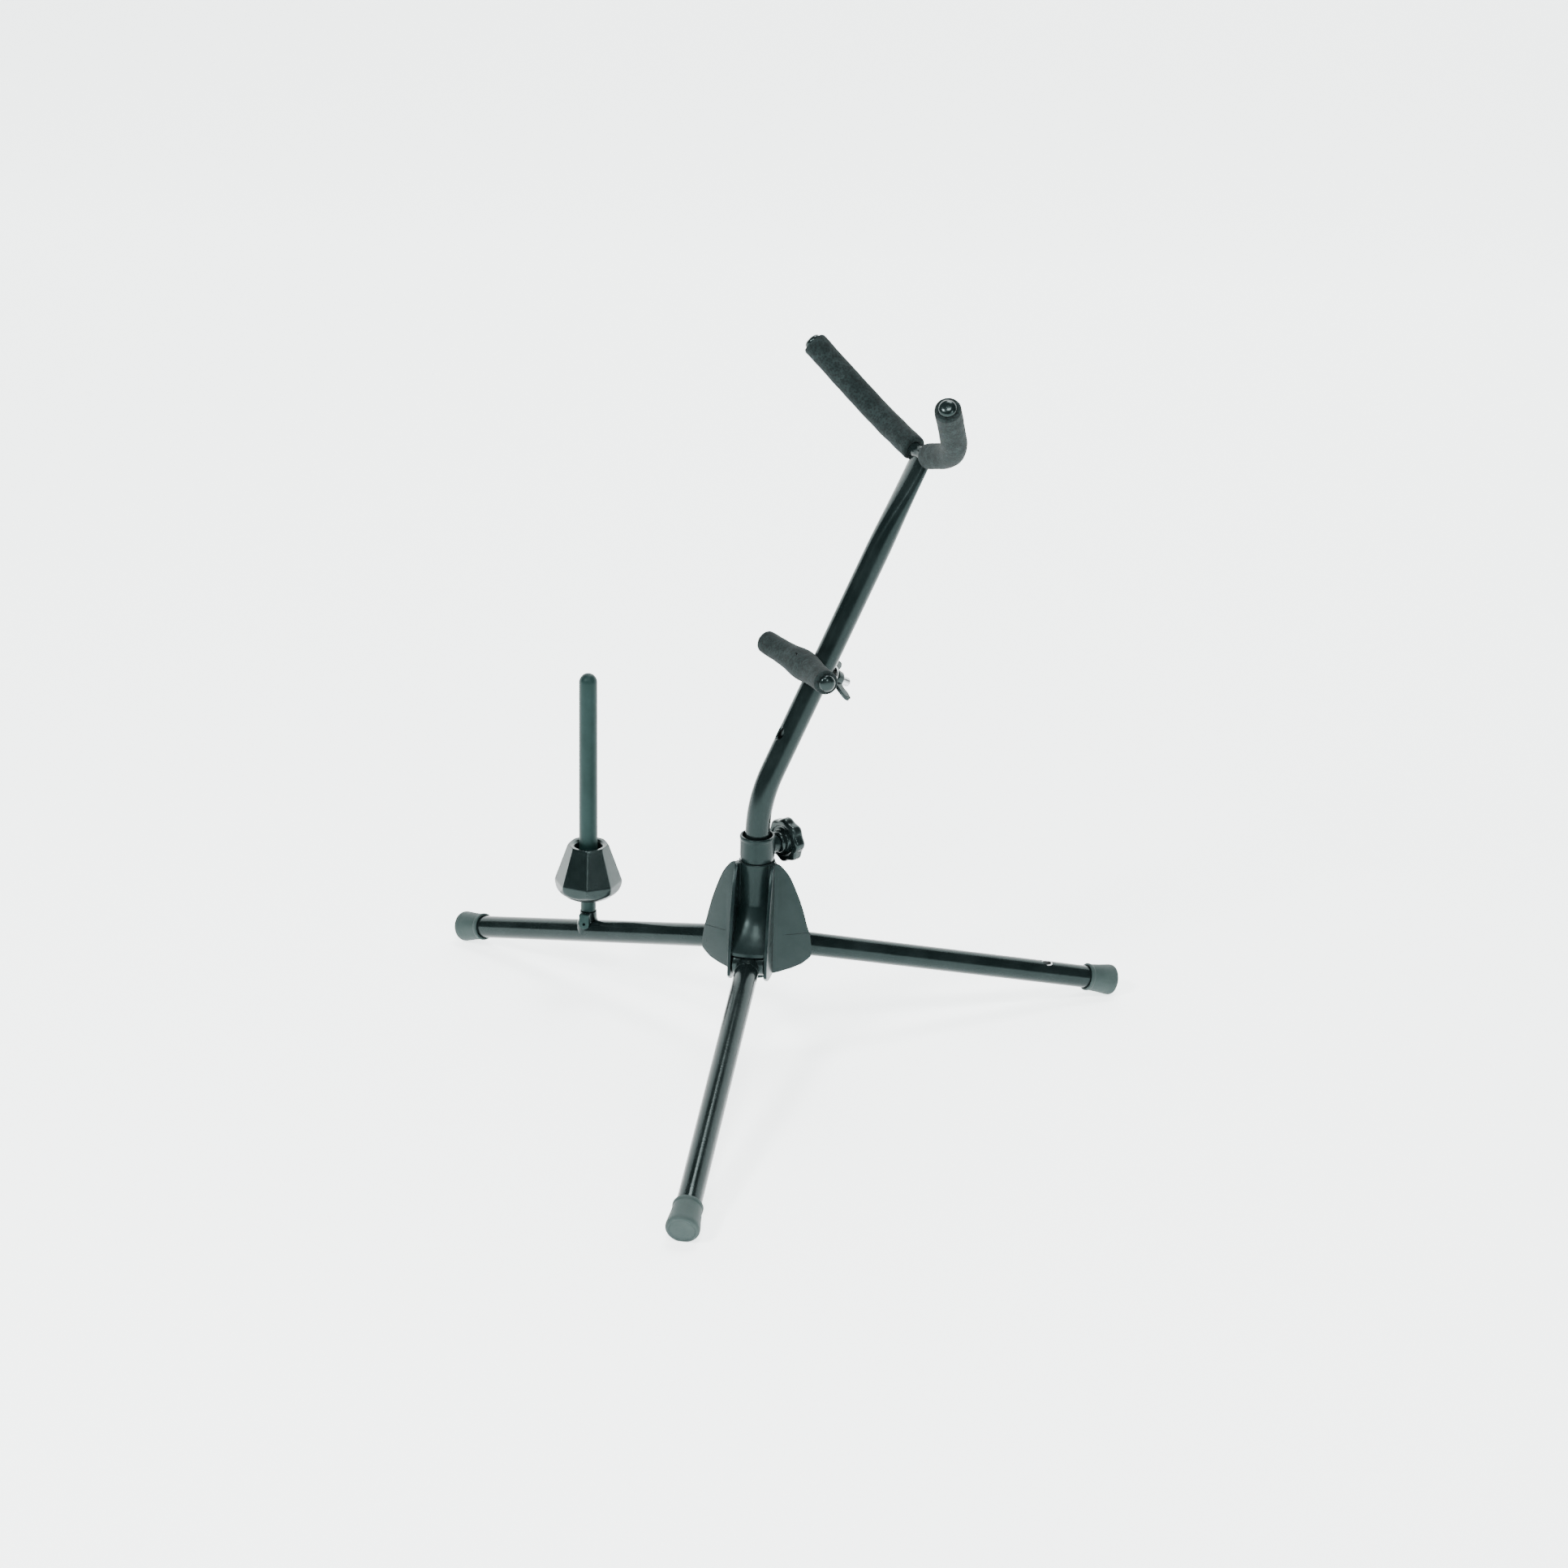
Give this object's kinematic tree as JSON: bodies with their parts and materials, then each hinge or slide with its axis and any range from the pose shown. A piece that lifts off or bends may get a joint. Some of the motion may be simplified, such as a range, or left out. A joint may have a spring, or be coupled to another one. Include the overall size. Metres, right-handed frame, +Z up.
{
  "type": "saxophone stand",
  "caption": "Folding floor stand with a three-legged base, a leaning mast with a padded fork and a padded yoke, and an upright instrument peg with a cone on one leg.",
  "frame": {"origin": "centre of the bounding box on the floor", "axes": "+Z up; the front leg points along -Y, the right leg (with the spare socket) towards +X, and the leg with the peg towards -X"},
  "size_m": [0.4862, 0.4234, 0.4725],
  "materials": {
    "hub_plastic": "satin moulded",
    "black_steel": "gloss black",
    "black_plastic": "gloss moulded",
    "plated_steel": "zinc plated",
    "brass": "machined",
    "nylon": "satin",
    "foam": "matte closed-cell foam",
    "foot_rubber": "matte",
    "peg_plastic": "satin"
  },
  "bodies": {
    "hub": {"hub_body": "hub_plastic", "base_tube": "black_steel", "base_plug": "hub_plastic", "hub_screw": "plated_steel", "clamp_collar": "hub_plastic", "clamp_nut": "brass", "front_leg_pin": "plated_steel", "right_leg_pin": "plated_steel", "left_leg_pin": "plated_steel"},
    "front_leg": {"front_leg_tube": "black_steel", "front_leg_knuckle": "black_plastic", "front_foot": "foot_rubber"},
    "right_leg": {"right_leg_tube": "black_steel", "right_leg_knuckle": "black_plastic", "right_foot": "foot_rubber", "spare_socket_insert": "plated_steel"},
    "left_leg": {"left_leg_tube": "black_steel", "left_leg_knuckle": "black_plastic", "left_foot": "foot_rubber", "peg_socket": "black_steel", "peg_tab": "peg_plastic"},
    "peg": {"peg_stud": "plated_steel", "peg_rod": "peg_plastic", "peg_cone": "black_plastic"},
    "liner": {"mast_liner": "nylon"},
    "mast": {"mast_tube": "black_steel", "mast_foot_plug": "hub_plastic", "fork_rod": "black_steel", "fork_foam_left": "foam", "fork_foam_right": "foam", "fork_cap_left": "black_plastic", "fork_cap_right": "black_plastic", "yoke_bolt": "plated_steel", "yoke_washer": "plated_steel"},
    "yoke": {"yoke_rod": "black_steel", "yoke_foam": "foam", "yoke_cap_left": "black_plastic", "yoke_cap_right": "black_plastic"},
    "wing_nut": {"yoke_wing_nut": "black_plastic"},
    "clamp_knob_and_screw": {"clamp_knob": "black_plastic", "clamp_screw": "plated_steel"}
  },
  "joints": [
    {"name": "front_leg_fold", "type": "hinge", "parent": "hub", "child": "front_leg", "pos_m": [0, 0.03952, 0.0757], "axis": [1, 0, 0], "range_deg": [0, 75]},
    {"name": "right_leg_fold", "type": "hinge", "parent": "hub", "child": "right_leg", "pos_m": [0.02252, 0.07852, 0.0757], "axis": [-0.5, 0.866, 0], "range_deg": [0, 75]},
    {"name": "left_leg_fold", "type": "hinge", "parent": "hub", "child": "left_leg", "pos_m": [-0.02252, 0.07852, 0.0757], "axis": [-0.5, -0.866, 0], "range_deg": [0, 75]},
    {"name": "mast_turn", "type": "hinge", "parent": "hub", "child": "liner", "pos_m": [0, 0.06552, 0.1487], "axis": [0, 0, 1], "continuous": true},
    {"name": "mast_slide", "type": "slide", "parent": "liner", "child": "mast", "axis": [0, 0, 1], "range_m": [0, 0.05]},
    {"name": "clamp_knob_turn", "type": "hinge", "parent": "hub", "child": "clamp_knob_and_screw", "pos_m": [0.01607, 0.08467, 0.1478], "axis": [0.6428, 0.766, 0], "continuous": true},
    {"name": "yoke_swivel", "type": "hinge", "parent": "mast", "child": "yoke", "pos_m": [0.02559, 0.08344, 0.27416], "axis": [-0.7299, -0.5111, 0.454], "range_deg": [-25, 25]},
    {"name": "wing_nut_turn", "type": "hinge", "parent": "mast", "child": "wing_nut", "pos_m": [0.04603, 0.09775, 0.26145], "axis": [-0.7299, -0.5111, 0.454], "continuous": true},
    {"name": "peg_turn", "type": "hinge", "parent": "left_leg", "child": "peg", "pos_m": [-0.13164, 0.14152, 0.0583], "axis": [0, 0, 1], "continuous": true}
  ]
}
